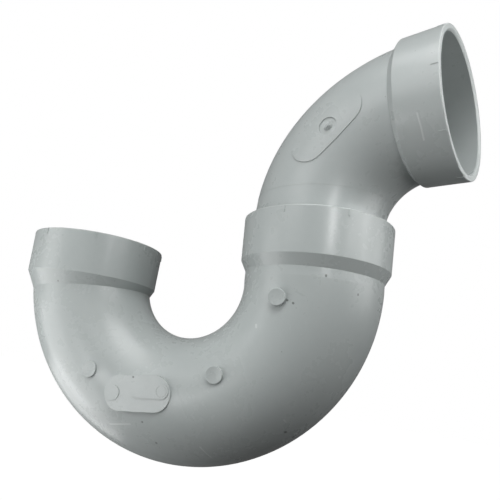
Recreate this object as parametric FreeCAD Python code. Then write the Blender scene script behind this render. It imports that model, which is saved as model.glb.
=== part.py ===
import FreeCAD, Part
import math
import os

# PVC drain trap: a U-bend with two sockets, and an outlet elbow pushed into its outlet socket.
# Millimetres. The origin is on the inlet leg's axis, at the stop where the incoming pipe ends.
# +Z is up, and +X points from the inlet leg to the outlet leg. The U-bend lies in the XZ plane.

V = FreeCAD.Vector
X_AXIS = V(1, 0, 0)
Y_AXIS = V(0, 1, 0)
Z_AXIS = V(0, 0, 1)
ORIGIN = V(0, 0, 0)
FRONT = V(0, -1, 0)

# Pipe and sockets
pipe_radius = 55.0          # outside of the drain pipe, and of the elbow's spigot
socket_play = 0.08          # radial play of a pipe or spigot in a socket
socket_radius = 62.0        # outside of the U-bend's sockets, at their base
socket_flare = 1.2          # how much wider they are at the mouth
socket_depth = 40.3         # from the mouth to the stop
stop_drop = 3.0             # how far a stop lies below the base of the socket's straight outside
cone_angle = 28.0           # between a socket's axis and the cone under it
lead_in = 1.5               # bevel inside each mouth
mouth_round = 0.8           # rounding outside each mouth
base_round = 0.8            # rounding where a socket's outside turns into its cone

# U-bend, drawn in a little towards the middle because its curved cores taper
bend_radius = 106.8         # of the centre line
end_radius = 57.2           # outside of the tube at the two ends of the bend
middle_radius = 51.6        # outside of the tube at its lowest point
bend_wall = 4.6
inlet_sink = 13.6           # base of the inlet socket, below the bend's centre
outlet_rise = 16.2          # base of the outlet socket, above the bend's centre

# Outlet elbow
elbow_radius = 91.7         # of the centre line
elbow_angle = 88.0          # between its two axes
elbow_body_radius = 55.12    # outside of the tube past the spigot
spigot_wall = 4.4
elbow_socket_radius = 60.2  # outside of its socket, at its base
elbow_socket_flare = 0.2
elbow_socket_depth = 35.4
elbow_socket_sink = 7.8     # how far that base reaches back over the bend
elbow_cone_angle = 45.5
spigot_gap = 0.3            # between the spigot's end and the stop
spigot_bevel = 2.0
witness_rise = 19.0         # where the spigot's skin ends, above the outlet socket's rim
rest_swivel = -21.6         # the elbow's turn about the outlet leg, from +X

# Round pads on the front of the U-bend, each with a shallow dish in its face
pad_radius = 6.7
pad_rise = 1.5              # above the tube's crest
pad_dish = 0.45
pad_round = 0.5
pad_arcs = (57.4, 120.8, 168.6)
pad_offsets = (2.6, -13.0, -15.8)

# Label pad on the front of the U-bend, with a round boss and a raised bar that ends in a dial
label_length = 56.9
label_width = 27.2
label_rise = 1.0
label_arc = 83.0
label_offset = -2.2
label_tilt = 7.4
boss_radius = 5.8
boss_place = -21.0          # along the pad, from its middle
boss_rise = 0.6
label_bar_length = 31.0
label_bar_width = 11.2
label_bar_place = (11.4, 2.0)
dial_radius = 4.4
dial_groove = 0.4           # width of the ring groove round the dial
dial_depth = 0.25

# Pad on the front of the elbow, with the moulding gate in a recess at its middle
gate_pad_length = 67.6
gate_pad_width = 28.4
gate_pad_rise = 0.7
gate_pad_arc = 46.2
gate_pad_offset = -1.6
gate_radius = 7.3
gate_depth = 1.0
gate_place = (1.4, -1.4)    # of the recess on the pad, from the pad's middle
stub_radius = 3.9
stub_height = 3.4
stub_slant = 35.0           # of its snapped end

# Alignment ticks round each mouth
tick_count = 8
tick_length = 5.0
tick_width = 1.0
tick_rise = 0.4
tick_turn = 28.0            # turn of the U-bend's first tick from +X

# Levels and places that follow
bore_radius = pipe_radius + socket_play
bend_level = inlet_sink + stop_drop
outlet_stop = bend_level + outlet_rise - stop_drop
outlet_rim = outlet_stop + socket_depth
leg_gap = 2 * bend_radius


def turned(corners):
    """Solid turned about the Z axis from the (radius, level) corners of its half section."""
    points = [V(radius, 0, level) for radius, level in corners]
    face = Part.Face(Part.makePolygon(points + points[:1]))
    return face.revolve(ORIGIN, Z_AXIS, 360)


def bar(radius, low, high):
    """Round bar about the Z axis, from one level to another."""
    return Part.makeCylinder(radius, high - low, V(0, 0, low))


def placed(shape, x, z):
    moved = shape.copy()
    moved.translate(V(x, 0, z))
    return moved


def rings(solid, radius, level):
    """The round edges of a turned solid that have this radius at this level."""
    found = []
    for edge in solid.Edges:
        if edge.Curve.TypeId != "Part::GeomCircle":
            continue
        same_radius = abs(edge.Curve.Radius - radius) < 1e-4
        if same_radius and abs(edge.Curve.Center.z - level) < 1e-4:
            found.append(edge)
    return found


def cup_outside(radius, flare, depth, angle):
    """Outside of a socket about the Z axis, its stop at z = 0. The cone runs on into the tube."""
    root_radius = radius / 2
    root_level = stop_drop - (radius - root_radius) / math.tan(math.radians(angle))
    rim_radius = radius + flare
    corners = [(0, root_level), (root_radius, root_level), (radius, stop_drop), (rim_radius, depth), (0, depth)]
    cup = turned(corners)
    cup = cup.makeFillet(base_round, rings(cup, radius, stop_drop))
    return cup.makeFillet(mouth_round, rings(cup, rim_radius, depth))


def cup_bore(depth):
    """Bore of a socket about the Z axis, from its stop at z = 0 to the bevel at its mouth."""
    mouth_radius = bore_radius + lead_in
    above = depth + mouth_round
    corners = [(0, 0), (bore_radius, 0), (bore_radius, depth - lead_in), (mouth_radius, depth)]
    return turned(corners + [(mouth_radius, above), (0, above)])


def ticks(rim_radius, depth, first_turn):
    """Short raised marks round a mouth, which help to line the pipe up."""
    low = depth - mouth_round - tick_length
    corner = V(rim_radius - tick_rise * 2, -tick_width / 2, low)
    marks = []
    for k in range(tick_count):
        mark = Part.makeBox(tick_rise * 3, tick_width, tick_length, corner)
        mark.rotate(ORIGIN, Z_AXIS, first_turn + k * 360.0 / tick_count)
        marks.append(mark)
    return marks


def pill(length, width, top):
    """Flat pad with round ends, lying along X and standing forward from y = 0."""
    reach = (length - width) / 2
    middle = Part.makeBox(2 * reach, top, width, V(-reach, -top, -width / 2))
    ends = [Part.makeCylinder(width / 2, top, V(x, 0, 0), FRONT) for x in (-reach, reach)]
    return middle.fuse(ends).removeSplitter()


def bend_spot(arc, offset=0.0):
    """Place on the U-bend's middle plane, at an angle down from the inlet side."""
    reach = bend_radius + offset
    angle = math.radians(arc)
    return V(bend_radius - reach * math.cos(angle), 0, bend_level - reach * math.sin(angle))


def tube_radius(arc):
    """Outside radius of the U-bend's tube, which narrows towards the middle of the bend."""
    share = (arc - 90.0) / 90.0
    return middle_radius + (end_radius - middle_radius) * share ** 2


def tapered_bend(radius_at_ends, radius_in_middle):
    """Solid half turn of round bar, narrower in the middle."""
    down = Part.Arc(bend_spot(0), bend_spot(45), bend_spot(90)).toShape()
    up = Part.Arc(bend_spot(90), bend_spot(135), bend_spot(180)).toShape()
    sweep = Part.BRepOffsetAPI.MakePipeShell(Part.Wire([down, up]))
    for arc, radius in ((0, radius_at_ends), (90, radius_in_middle), (180, radius_at_ends)):
        angle = math.radians(arc)
        along = V(math.sin(angle), 0, -math.cos(angle))
        sweep.add(Part.Wire(Part.makeCircle(radius, bend_spot(arc), along)))
    sweep.build()
    sweep.makeSolid()
    return sweep.shape()


def dished_pad(top):
    """Round pad standing forward from y = 0, with a hollow face."""
    disc = Part.makeCylinder(pad_radius, top, ORIGIN, FRONT)
    face_edge = [edge for edge in disc.Edges if abs(edge.BoundBox.YMax + top) < 1e-4]
    disc = disc.makeFillet(pad_round, face_edge)
    dish_radius = pad_radius - 1.5 * pad_round
    ball_radius = (dish_radius ** 2 + pad_dish ** 2) / (2 * pad_dish)
    return disc.cut(Part.makeSphere(ball_radius, V(0, pad_dish - top - ball_radius, 0)))


def label_pad(top):
    """Label pad lying along X: the pill, its boss, its raised bar and the ring groove of the dial."""
    bar_x, bar_z = label_bar_place
    boss = Part.makeCylinder(boss_radius, top + boss_rise, V(boss_place, 0, 0), FRONT)
    raised = pill(label_bar_length, label_bar_width, top + boss_rise)
    raised.translate(V(bar_x, 0, bar_z))
    dial_x = bar_x + (label_bar_length - label_bar_width) / 2
    dial_spot = V(dial_x, dial_depth - top - boss_rise, bar_z)
    groove = Part.makeCylinder(dial_radius, boss_rise, dial_spot, FRONT)
    groove = groove.cut(Part.makeCylinder(dial_radius - dial_groove, boss_rise, dial_spot, FRONT))
    return pill(label_length, label_width, top).fuse([boss, raised]).cut(groove)


def bend_pads():
    """Pads on the front of the U-bend: three round ones and the one for the label."""
    pads = []
    for arc, offset in zip(pad_arcs, pad_offsets):
        pad = dished_pad(tube_radius(arc) + pad_rise)
        pad.translate(bend_spot(arc, offset))
        pads.append(pad)
    label = label_pad(tube_radius(label_arc) + label_rise)
    label.rotate(ORIGIN, Y_AXIS, -label_tilt)
    label.translate(bend_spot(label_arc, label_offset))
    return pads + [label]


def trap_bend():
    cup = cup_outside(socket_radius, socket_flare, socket_depth, cone_angle)
    solids = [placed(bar(end_radius, bend_level, outlet_stop), leg_gap, 0)]
    solids += [cup, placed(cup, leg_gap, outlet_stop)] + bend_pads()
    for mark in ticks(socket_radius + socket_flare, socket_depth, tick_turn):
        solids += [mark, placed(mark, leg_gap, outlet_stop)]
    outside = tapered_bend(end_radius, middle_radius).fuse(solids)
    cup_in = cup_bore(socket_depth)
    water_way = tapered_bend(end_radius - bend_wall, middle_radius - bend_wall)
    riser_way = placed(bar(end_radius - bend_wall, bend_level, outlet_stop), leg_gap, 0)
    return outside.cut([water_way, riser_way, cup_in, placed(cup_in, leg_gap, outlet_stop)])


def bent_bar(radius):
    """Round bar along the elbow's centre line, which leaves the origin upwards and turns to +X."""
    start = Part.Face(Part.Wire(Part.makeCircle(radius)))
    return start.revolve(V(elbow_radius, 0, 0), Y_AXIS, elbow_angle)


def elbow_spot(arc, offset=0.0):
    """Place on the elbow's middle plane, at an angle along its bend."""
    reach = elbow_radius + offset
    angle = math.radians(arc)
    return V(elbow_radius - reach * math.cos(angle), 0, reach * math.sin(angle))


def at_elbow_mouth(shape):
    """Moves a socket drawn about the Z axis to the elbow's far end."""
    angle = math.radians(elbow_angle)
    along = V(math.sin(angle), 0, math.cos(angle))
    moved = shape.copy()
    moved.rotate(ORIGIN, Y_AXIS, elbow_angle)
    moved.translate(elbow_spot(elbow_angle) - along * (elbow_socket_sink + stop_drop))
    return moved


def at_gate_pad(shape):
    """Moves a shape drawn about the front line through the origin to the elbow's pad."""
    moved = shape.copy()
    moved.rotate(ORIGIN, Y_AXIS, gate_pad_arc - 90)
    moved.translate(elbow_spot(gate_pad_arc, gate_pad_offset))
    return moved


def gate_pad():
    """Pad on the front of the elbow that follows its tube."""
    skin_radius = elbow_body_radius + gate_pad_rise
    outline = pill(gate_pad_length, gate_pad_width, 2 * skin_radius)
    return bent_bar(skin_radius).common(at_gate_pad(outline))


def gate_stub():
    """Stub of the moulding gate, snapped off at a slant, standing forward from y = 0."""
    stub = Part.makeCone(stub_radius, stub_radius / 2, stub_height, ORIGIN, FRONT)
    reach = 2 * stub_radius
    knife = Part.makeBox(2 * reach, reach, 2 * reach, V(-reach, -reach, -reach))
    knife.rotate(ORIGIN, X_AXIS, -stub_slant)
    knife.translate(V(0, stub_height / -2, 0))
    return stub.cut(knife)


def outlet_elbow():
    spigot_length = socket_depth - spigot_gap
    bevel_radius = pipe_radius - spigot_bevel
    corners = [(0, -spigot_length), (bevel_radius, -spigot_length)]
    corners += [(pipe_radius, -spigot_length + spigot_bevel), (pipe_radius, 0), (0, 0)]
    below_witness = Part.makeBox(4 * elbow_radius, 4 * elbow_radius, witness_rise)
    below_witness.translate(V(-2 * elbow_radius, -2 * elbow_radius, 0))
    skin = bent_bar(elbow_body_radius).cut(below_witness)
    cup = cup_outside(elbow_socket_radius, elbow_socket_flare, elbow_socket_depth, elbow_cone_angle)
    solids = [bent_bar(pipe_radius), skin, at_elbow_mouth(cup)]
    for mark in ticks(elbow_socket_radius + elbow_socket_flare, elbow_socket_depth, 0):
        solids.append(at_elbow_mouth(mark))
    outside = turned(corners).fuse(solids + [gate_pad()])
    bore = pipe_radius - spigot_wall
    water_way = [bar(bore, -spigot_length, 0), bent_bar(bore), at_elbow_mouth(cup_bore(elbow_socket_depth))]
    floor = elbow_body_radius + gate_pad_rise - gate_depth
    gate_spot = V(gate_place[0], -floor, gate_place[1])
    recess = Part.makeCylinder(gate_radius, 2 * gate_depth, gate_spot, FRONT)
    stub = gate_stub()
    stub.translate(gate_spot)
    elbow = outside.cut(water_way + [at_gate_pad(recess)]).fuse(at_gate_pad(stub))
    elbow.rotate(ORIGIN, Z_AXIS, rest_swivel)
    return placed(elbow, leg_gap, outlet_rim)


if __name__ == "__main__":
    os.makedirs("parts", exist_ok=True)
    for name, make in (("trap_bend", trap_bend), ("outlet_elbow", outlet_elbow)):
        shape = make()
        shape.exportStep("parts/" + name + ".step")
        box = shape.BoundBox
        print(name, len(shape.Solids), "solid", shape.isValid(), round(shape.Volume), "mm3", box)
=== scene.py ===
import math
import bpy
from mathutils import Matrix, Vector

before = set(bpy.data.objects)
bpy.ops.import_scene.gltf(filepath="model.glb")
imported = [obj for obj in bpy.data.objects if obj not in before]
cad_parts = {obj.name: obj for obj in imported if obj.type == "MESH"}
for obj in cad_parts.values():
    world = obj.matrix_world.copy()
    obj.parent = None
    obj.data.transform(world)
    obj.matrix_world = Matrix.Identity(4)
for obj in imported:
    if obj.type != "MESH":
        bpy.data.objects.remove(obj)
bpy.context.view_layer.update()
scene = bpy.context.scene
scene.view_settings.view_transform = "Standard"
print("frame loaded:", sorted(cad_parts))


# Camera, held low in front of the trap and tipped a little to one side
camera = {
    "spot": (0.2669, -0.40955, -0.05135),      # metres
    "turn": (104.393, -8.524, 19.228),         # degrees
    "lens": 34.516,                            # millimetres on a 36 mm wide sensor
    "shift": (0.098, -0.0354),
    "near": 0.01,                              # metres, nothing nearer is drawn
}


def addCamera():
    data = bpy.data.cameras.new("camera")
    data.lens = camera["lens"]
    data.shift_x, data.shift_y = camera["shift"]
    data.clip_start = camera["near"]
    obj = bpy.data.objects.new("camera", data)
    obj.location = camera["spot"]
    obj.rotation_euler = [math.radians(a) for a in camera["turn"]]
    scene.collection.objects.link(obj)
    scene.camera = obj


addCamera()
print("camera placed")


# Small helpers for node trees
def addNode(tree, kind, inputs=None, **settings):
    node = tree.nodes.new(kind)
    for key, value in settings.items():
        setattr(node, key, value)
    for key, value in (inputs or {}).items():
        if isinstance(value, bpy.types.NodeSocket):
            tree.links.new(value, node.inputs[key])
        else:
            node.inputs[key].default_value = value
    return node


def calc(tree, operation, a, b=0.0, c=None):
    values = {0: a, 1: b} if c is None else {0: a, 1: b, 2: c}
    return addNode(tree, "ShaderNodeMath", values, operation=operation).outputs[0]


def vectorMath(tree, operation, a, b):
    return addNode(tree, "ShaderNodeVectorMath", {0: a, 1: b}, operation=operation)


def lengthOf(tree, vector):
    node = addNode(tree, "ShaderNodeVectorMath", {0: vector}, operation="LENGTH")
    return node.outputs["Value"]


def fade(tree, value, low, high, start=0.0, end=1.0):
    node = addNode(tree, "ShaderNodeMapRange",
                   {"Value": value, "From Min": low, "From Max": high, "To Min": start, "To Max": end},
                   interpolation_type="SMOOTHSTEP")
    return node.outputs["Result"]


def noise(tree, vector, scale, detail):
    node = addNode(tree, "ShaderNodeTexNoise", {"Vector": vector, "Scale": scale, "Detail": detail})
    return node.outputs["Fac"]


def mixColour(tree, fac, a, b):
    node = addNode(tree, "ShaderNodeMix", data_type="RGBA")
    for socket, value in ((node.inputs[0], fac), (node.inputs[6], a), (node.inputs[7], b)):
        if isinstance(value, bpy.types.NodeSocket):
            tree.links.new(value, socket)
        else:
            socket.default_value = value
    return node.outputs[2]


def greyOf(value):
    return (value, value, value, 1)


def strongest(tree, masks):
    total = masks[0]
    for mask in masks[1:]:
        total = calc(tree, "MAXIMUM", total, mask)
    return total


# Shader groups. Each puts out a mask or a height that changes over the surface.
def socketName(key):
    return key[0].upper() + key[1:]


def newGroup(name, output, **inputs):
    # every group is given the place on the surface, and the values named here
    group = bpy.data.node_groups.new(name, "ShaderNodeTree")
    for key, value in {"place": (0, 0, 0), **inputs}.items():
        kind = "NodeSocketVector" if isinstance(value, tuple) else "NodeSocketFloat"
        socket = group.interface.new_socket(name=socketName(key), in_out="INPUT", socket_type=kind)
        socket.default_value = value
    group.interface.new_socket(name=output, in_out="OUTPUT", socket_type="NodeSocketFloat")
    given = group.nodes.new("NodeGroupInput").outputs
    out = group.nodes.new("NodeGroupOutput").inputs
    return group, given, out


def buildMottle():
    # slow clouds in the grey, and finer ones in them
    group, given, out = newGroup("mottle", "Tone", size=0.05)
    finer, fineShare = 9.0, 0.3
    scale = calc(group, "DIVIDE", 1.0, given["Size"])
    clouds = noise(group, given["Place"], scale, 3)
    fine = noise(group, given["Place"], calc(group, "MULTIPLY", scale, finer), 2)
    slow = calc(group, "MULTIPLY", clouds, 1 - fineShare)
    both = calc(group, "MULTIPLY_ADD", fine, fineShare, slow)
    group.links.new(fade(group, both, 0.3, 0.7), out["Tone"])
    return group


def buildSkin():
    # the faint ripple of a polished mould, and its grain
    group, given, out = newGroup("skin", "Height", ripple=0.004)
    finer, grainShare = 5.0, 0.25
    scale = calc(group, "DIVIDE", 1.0, given["Ripple"])
    ripple = noise(group, given["Place"], scale, 1)
    grain = noise(group, given["Place"], calc(group, "MULTIPLY", scale, finer), 2)
    group.links.new(calc(group, "MULTIPLY_ADD", grain, grainShare, ripple), out["Height"])
    return group


def buildScuffs():
    # short fine scratches in two directions, only where the part has been handled
    group, given, out = newGroup("scuffs", "Mask", amount=0.3)
    directions = (                             # turn in radians, noise cells per metre
        ((0.5, 0.3, 0.9), (1300, 1300, 34)),
        ((-0.9, 0.7, -0.4), (38, 1100, 1100)),
    )
    patches = 22.0                             # handled places, in noise cells per metre
    lines = []
    for turn, stretch in directions:
        turned = addNode(group, "ShaderNodeMapping",
                         {"Vector": given["Place"], "Rotation": turn, "Scale": stretch})
        lines.append(fade(group, noise(group, turned.outputs[0], 1.0, 1), 0.72, 0.80))
    handled = fade(group, noise(group, given["Place"], patches, 2), 0.50, 0.66)
    mask = calc(group, "MULTIPLY", strongest(group, lines), handled)
    group.links.new(calc(group, "MULTIPLY", mask, given["Amount"]), out["Mask"])
    return group


def buildRimHighlight():
    # pale band round a mouth, a painted highlight of the rim, on both sides of the mouth's plane and
    # out to the radius
    group, given, out = newGroup("rimHighlight", "Mask", middle=(0, 0, 0), along=(0, 0, 1), radius=0.07,
                                 width=0.002)
    narrowest, raggedness, ragsPerMetre = 0.55, 0.9, 160.0
    offset = vectorMath(group, "SUBTRACT", given["Place"], given["Middle"]).outputs[0]
    height = vectorMath(group, "DOT_PRODUCT", offset, given["Along"]).outputs["Value"]
    rags = noise(group, given["Place"], ragsPerMetre, 3)
    ragged = calc(group, "MULTIPLY_ADD", rags, raggedness, narrowest)
    width = calc(group, "MULTIPLY", given["Width"], ragged)
    band = calc(group, "DIVIDE", calc(group, "ABSOLUTE", height), width)
    near = calc(group, "LESS_THAN", lengthOf(group, offset), given["Radius"])
    mask = calc(group, "MULTIPLY", fade(group, band, 0.2, 1.0, 1.0, 0.0), near)
    group.links.new(mask, out["Mask"])
    return group


def buildSpecks():
    # sparse dust nibs, one in each cell that is chosen by its random number
    group, given, out = newGroup("specks", "Mask", spacing=0.012, size=0.0004)
    chosenAbove = 0.72
    scale = calc(group, "DIVIDE", 1.0, given["Spacing"])
    cells = addNode(group, "ShaderNodeTexVoronoi", {"Vector": given["Place"], "Scale": scale})
    reach = calc(group, "DIVIDE", given["Size"], given["Spacing"])
    away = calc(group, "DIVIDE", cells.outputs["Distance"], reach)
    parts = addNode(group, "ShaderNodeSeparateColor", {0: cells.outputs["Color"]})
    chosen = calc(group, "GREATER_THAN", parts.outputs[0], chosenAbove)
    mask = calc(group, "MULTIPLY", fade(group, away, 0.6, 1.0, 1.0, 0.0), chosen)
    group.links.new(mask, out["Mask"])
    return group


def buildMark():
    # one mark along the line between two points
    group, given, out = newGroup("mark", "Mask", start=(0, 0, 0), end=(0, 0, 0.001), width=0.001)
    run = vectorMath(group, "SUBTRACT", given["End"], given["Start"]).outputs[0]
    offset = vectorMath(group, "SUBTRACT", given["Place"], given["Start"]).outputs[0]
    runSquared = vectorMath(group, "DOT_PRODUCT", run, run).outputs["Value"]
    passed = vectorMath(group, "DOT_PRODUCT", offset, run).outputs["Value"]
    share = calc(group, "DIVIDE", passed, runSquared)
    share = calc(group, "MINIMUM", calc(group, "MAXIMUM", share, 0.0), 1.0)
    nearest = addNode(group, "ShaderNodeVectorMath", {0: run, "Scale": share}, operation="SCALE")
    gap = vectorMath(group, "DISTANCE", offset, nearest.outputs[0]).outputs["Value"]
    away = calc(group, "DIVIDE", gap, given["Width"])
    group.links.new(fade(group, away, 0.3, 0.6, 1.0, 0.0), out["Mask"])
    return group


def buildSeam():
    # the parting line of the mould, on the plane through a point
    group, given, out = newGroup("seam", "Mask", point=(0, 0, 0), across=(0, 1, 0), width=0.0004)
    narrowest, wandering, bendsPerMetre = 0.6, 0.8, 90.0
    offset = vectorMath(group, "SUBTRACT", given["Place"], given["Point"]).outputs[0]
    away = vectorMath(group, "DOT_PRODUCT", offset, given["Across"]).outputs["Value"]
    bends = noise(group, given["Place"], bendsPerMetre, 2)
    wander = calc(group, "MULTIPLY_ADD", bends, wandering, narrowest)
    width = calc(group, "MULTIPLY", given["Width"], wander)
    share = calc(group, "DIVIDE", calc(group, "ABSOLUTE", away), width)
    group.links.new(fade(group, share, 0.3, 1.0, 1.0, 0.0), out["Mask"])
    return group


groups = {
    "mottle": buildMottle(),
    "skin": buildSkin(),
    "scuffs": buildScuffs(),
    "rimHighlight": buildRimHighlight(),
    "specks": buildSpecks(),
    "mark": buildMark(),
    "seam": buildSeam(),
}


def useGroup(tree, name, **inputs):
    values = {socketName(key): value for key, value in inputs.items()}
    return addNode(tree, "ShaderNodeGroup", values, node_tree=groups[name]).outputs[0]


# How strongly each kind of wear and the painted rim highlight show, on both pieces
wearAndHighlight = {
    # strength of the painted rim highlight
    "paintedRimHighlight": 0.35,
    "seam": 0.10,
    "paleMark": 0.45,
    "speck": 0.45,
    "darkMark": 0.8,
    "roughens": 0.25,                          # added to the roughness where the wear marks and the painted rim highlight are full
    "raises": 0.6,                             # height of full pale wear and painted rim highlight, against the ripple's
}

# U-bend: moulded grey PVC with a semi-gloss skin. All lengths are in metres.
bendFinish = {
    "name": "bendPvc",
    "colour": (0.428, 0.462, 0.455),
    "cloudColour": (0.402, 0.437, 0.432),
    "cloudSize": 0.045,
    "roughness": (0.25, 0.31),                 # polished, cloudy
    "specular": 0.5,
    "ripple": 0.006,
    "rippleHeight": 0.000018,
    "scuffs": 0.14,
    "speckSpacing": 0.017,
    "speckSize": 0.00055,
    "paleColour": (0.66, 0.69, 0.68),          # rubbed marks, scratches and the painted rim highlight
    "darkColour": (0.10, 0.11, 0.105),         # dirt
    "highlightedRims": [                                  # middle, direction, reach, width of the painted highlight band round the rim
        ((0, 0, 0.0403), (0, 0, 1), 0.09, 0.0012),
        ((0.2136, 0, 0.0701), (0, 0, 1), 0.09, 0.0012),
    ],
    "seam": ((0, 0, 0), (0, 1, 0), 0.0005),    # point, direction across, width
    "dark": [                                  # dirty marks: start, end, width
        ((0.0016, -0.0566, -0.0072), (0.0016, -0.0566, -0.0067), 0.0016),
        ((0.2300, -0.0548, 0.0177), (0.2300, -0.0548, 0.0182), 0.0018),
        ((0.0887, -0.0526, -0.0757), (0.0891, -0.0526, -0.0757), 0.0016),
        ((0.1011, -0.0486, -0.1075), (0.1014, -0.0486, -0.1075), 0.0016),
        ((0.1123, -0.0411, -0.1213), (0.1127, -0.0411, -0.1213), 0.0018),
        ((0.2525, -0.0411, 0.0082), (0.2525, -0.0411, 0.0087), 0.0016),
        ((0.2036, -0.0553, -0.0028), (0.2040, -0.0553, -0.0030), 0.0018),
        ((0.2083, -0.0557, -0.0046), (0.2086, -0.0557, -0.0048), 0.0018),
        ((0.2075, -0.0283, -0.0964), (0.2081, -0.0275, -0.0966), 0.0022),
        ((0.2119, -0.0159, -0.1002), (0.2124, -0.0150, -0.1004), 0.0022),
    ],
    "pale": [                                  # rubbed marks: start, end, width
        ((0.1813, -0.0495, -0.0232), (0.1820, -0.0495, -0.0250), 0.0020),
        ((0.0706, -0.0423, -0.1150), (0.0808, -0.0450, -0.1130), 0.0014),
        ((0.0808, -0.0450, -0.1130), (0.0903, -0.0467, -0.1111), 0.0014),
        ((0.1476, -0.0397, -0.1174), (0.1549, -0.0294, -0.1249), 0.0012),
        ((0.2073, -0.0370, -0.0874), (0.2147, -0.0165, -0.0975), 0.0014),
    ],
}

# Outlet elbow: the same plastic, from a mould of its own
elbowFinish = {
    "name": "elbowPvc",
    "colour": (0.430, 0.462, 0.456),
    "cloudColour": (0.406, 0.440, 0.436),
    "cloudSize": 0.05,
    "roughness": (0.26, 0.32),
    "specular": 0.5,
    "ripple": 0.006,
    "rippleHeight": 0.000018,
    "scuffs": 0.12,
    "speckSpacing": 0.019,
    "speckSize": 0.0005,
    "paleColour": (0.66, 0.69, 0.68),
    "darkColour": (0.10, 0.11, 0.105),
    # the painted highlight band round the outlet's rim
    "highlightedRims": [((0.31874, -0.04163, 0.16261), (0.92921, -0.36790, 0.03490), 0.09, 0.0012)],
    "seam": ((0.2136, 0, 0), (0.3681, 0.9298, 0), 0.0005),
    "dark": [],
    "pale": [
        ((0.2847, -0.0842, 0.1318), (0.2879, -0.0793, 0.1236), 0.0012),
        ((0.2879, -0.0793, 0.1236), (0.2905, -0.0731, 0.1167), 0.0012),
    ],
}


def pvcMaterial(finish):
    mat = bpy.data.materials.new(finish["name"])
    mat.use_nodes = True
    tree = mat.node_tree
    shader = tree.nodes["Principled BSDF"]
    place = addNode(tree, "ShaderNodeTexCoord").outputs["Object"]

    def weigh(mask, kind):
        return calc(tree, "MULTIPLY", mask, wearAndHighlight[kind])

    def marks(kind):
        return strongest(tree, [useGroup(tree, "mark", place=place, start=start, end=end, width=width)
                                for start, end, width in finish[kind]])

    clouds = useGroup(tree, "mottle", place=place, size=finish["cloudSize"])
    scuffs = useGroup(tree, "scuffs", place=place, amount=finish["scuffs"])
    point, across, seamWidth = finish["seam"]
    seam = useGroup(tree, "seam", place=place, point=point, across=across, width=seamWidth)
    # pale band round each mouth: a painted highlight on the rim's face and edge
    rimHighlightMask = strongest(tree, [useGroup(tree, "rimHighlight", place=place, middle=middle, along=along,
                                       radius=reach, width=width)
                              for middle, along, reach, width in finish["highlightedRims"]])
    specks = useGroup(tree, "specks", place=place, spacing=finish["speckSpacing"],
                      size=finish["speckSize"])
    # pale holds the painted rim highlight together with the scuffs, the seam and the rubbed marks
    pale = strongest(tree, [weigh(rimHighlightMask, "paintedRimHighlight"), scuffs, weigh(seam, "seam"),
                            weigh(marks("pale"), "paleMark")])
    dark = weigh(specks, "speck")
    if finish["dark"]:
        dark = strongest(tree, [dark, weigh(marks("dark"), "darkMark")])
    colour = mixColour(tree, clouds, (*finish["colour"], 1), (*finish["cloudColour"], 1))
    colour = mixColour(tree, pale, colour, (*finish["paleColour"], 1))
    colour = mixColour(tree, dark, colour, (*finish["darkColour"], 1))
    tree.links.new(colour, shader.inputs["Base Color"])

    polished, cloudy = finish["roughness"]
    roughness = calc(tree, "MULTIPLY_ADD", clouds, cloudy - polished, polished)
    # rougher where the pale marks, the painted rim highlight and the dark marks are
    wornOrHighlighted = strongest(tree, [pale, dark])
    roughness = calc(tree, "MULTIPLY_ADD", wornOrHighlighted, wearAndHighlight["roughens"], roughness)
    tree.links.new(roughness, shader.inputs["Roughness"])
    shader.inputs["Specular IOR Level"].default_value = finish["specular"]

    ripple = useGroup(tree, "skin", place=place, ripple=finish["ripple"])
    height = calc(tree, "MULTIPLY_ADD", pale, wearAndHighlight["raises"], ripple)
    bump = addNode(tree, "ShaderNodeBump",
                   {"Height": height, "Distance": finish["rippleHeight"], "Strength": 1.0})
    tree.links.new(bump.outputs["Normal"], shader.inputs["Normal"])
    return mat


def dress(node, finish):
    mat = pvcMaterial(finish)
    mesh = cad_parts[node].data
    for i in range(len(mesh.materials)):
        mesh.materials[i] = mat


dress("trap_bend", bendFinish)
dress("outlet_elbow", elbowFinish)
print("pieces dressed")


# Light: soft boxes in front of the part, above it and at its sides, all aimed at its middle
studio = {
    "middle": (0.14, -0.02, 0.03),
    "ambient": 0.02,                           # strength of the world's light on the part
    "background": 1.0,                         # strength of white, as the camera sees it
    "worldInGloss": 0.156,                     # share of that white that the gloss shows
    "floorInGloss": 0.1,                       # the same for the floor's glow
    "floorNear": 0.75,                         # the glow under the part, so that its shadow shows
    "floorFade": (0.6, 2.4),                   # metres from the middle, where the glow turns white
    "floorLevel": -1.0,
    "floorHalf": 12,                           # half the length of its sides
    "floorPaint": 0.5,
    "floorRoughness": 0.9,
}
lamps = {                                      # spot and size in metres, power in watts
    "overhead": ((0.145, -0.468, 0.693), (0.5, 0.5), 3.2),
    "aboveRight": ((0.32, -0.45, 0.72), (0.5, 0.5), 0.8),
    "frontLeftHigh": ((-0.05, -0.46, 0.3), (0.3, 0.3), 0.48),
    "leftFill": ((-0.36, -0.34, 0.05), (0.3, 0.3), 0.52),
    "leftLow": ((-0.25, -0.18, -0.21), (0.32, 0.32), 0.8),
    "lowBack": ((-0.19, -0.01, -0.28), (0.25, 0.25), 0.37),
    "padLight": ((-0.05, -0.34, -0.115), (0.13, 0.13), 0.24),
    "rightSide": ((0.62, -0.2, 0.26), (0.3, 0.3), 0.95),
    "rightBack": ((0.58, -0.01, 0.11), (0.25, 0.25), 0.38),
    "socketStreak": ((0.372, -0.322, 0.135), (0.06, 0.09), 0.22),
}


def addLamp(name, spot, size, power):
    data = bpy.data.lights.new(name, "AREA")
    data.shape = "RECTANGLE"
    data.size, data.size_y = size
    data.energy = power
    lamp = bpy.data.objects.new(name, data)
    lamp.visible_camera = False
    lamp.location = spot
    aim = Vector(studio["middle"]) - Vector(spot)
    lamp.rotation_euler = aim.to_track_quat("-Z", "Y").to_euler()
    scene.collection.objects.link(lamp)


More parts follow.
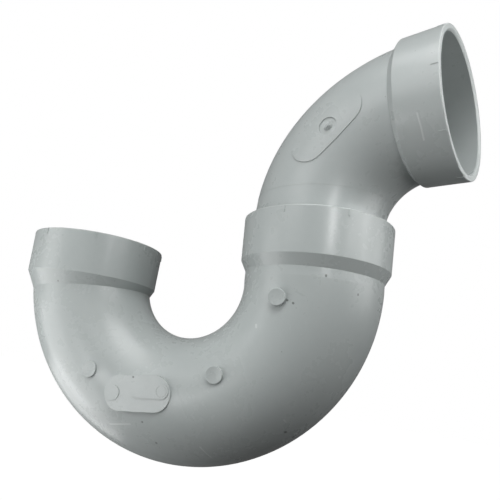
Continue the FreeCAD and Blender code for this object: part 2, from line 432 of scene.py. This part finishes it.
def backgroundRays(tree, inGloss):
    # 1 where the camera or a transmitted ray sees the background, and inGloss in reflections
    rays = addNode(tree, "ShaderNodeLightPath").outputs
    seen = calc(tree, "MAXIMUM", rays["Is Camera Ray"], rays["Is Transmission Ray"])
    return calc(tree, "MAXIMUM", seen, calc(tree, "MULTIPLY", rays["Is Glossy Ray"], inGloss))


def addWorld():
    world = bpy.data.worlds.new("studio")
    world.use_nodes = True
    tree = world.node_tree
    rays = backgroundRays(tree, studio["worldInGloss"])
    strength = calc(tree, "MULTIPLY_ADD", rays, studio["background"] - studio["ambient"],
                    studio["ambient"])
    tree.nodes["Background"].inputs["Color"].default_value = greyOf(1)
    tree.links.new(strength, tree.nodes["Background"].inputs["Strength"])
    scene.world = world


def floorPaint():
    mat = bpy.data.materials.new("floorPaint")
    mat.use_nodes = True
    tree = mat.node_tree
    paint = tree.nodes["Principled BSDF"]
    paint.inputs["Base Color"].default_value = greyOf(studio["floorPaint"])
    paint.inputs["Roughness"].default_value = studio["floorRoughness"]
    # white far off, and near the part a little less, so that its shadow shows
    place = addNode(tree, "ShaderNodeTexCoord").outputs["Object"]
    level = fade(tree, lengthOf(tree, place), *studio["floorFade"], studio["floorNear"],
                 studio["background"])
    glow = addNode(tree, "ShaderNodeEmission", {"Color": greyOf(1), "Strength": level})
    lit = addNode(tree, "ShaderNodeAddShader", {0: paint.outputs[0], 1: glow.outputs[0]})
    rays = backgroundRays(tree, studio["floorInGloss"])
    pick = addNode(tree, "ShaderNodeMixShader", {0: rays, 1: paint.outputs[0], 2: lit.outputs[0]})
    tree.links.new(pick.outputs[0], tree.nodes["Material Output"].inputs["Surface"])
    return mat


def addFloor():
    half = studio["floorHalf"]
    corners = [(-half, -half, 0), (half, -half, 0), (half, half, 0), (-half, half, 0)]
    mesh = bpy.data.meshes.new("floor")
    mesh.from_pydata(corners, [], [(0, 1, 2, 3)])
    mesh.materials.append(floorPaint())
    floor = bpy.data.objects.new("floor", mesh)
    floor.location = (0, 0, studio["floorLevel"])
    scene.collection.objects.link(floor)


addWorld()
addFloor()
for lampName, values in lamps.items():
    addLamp(lampName, *values)
print("studio lit")
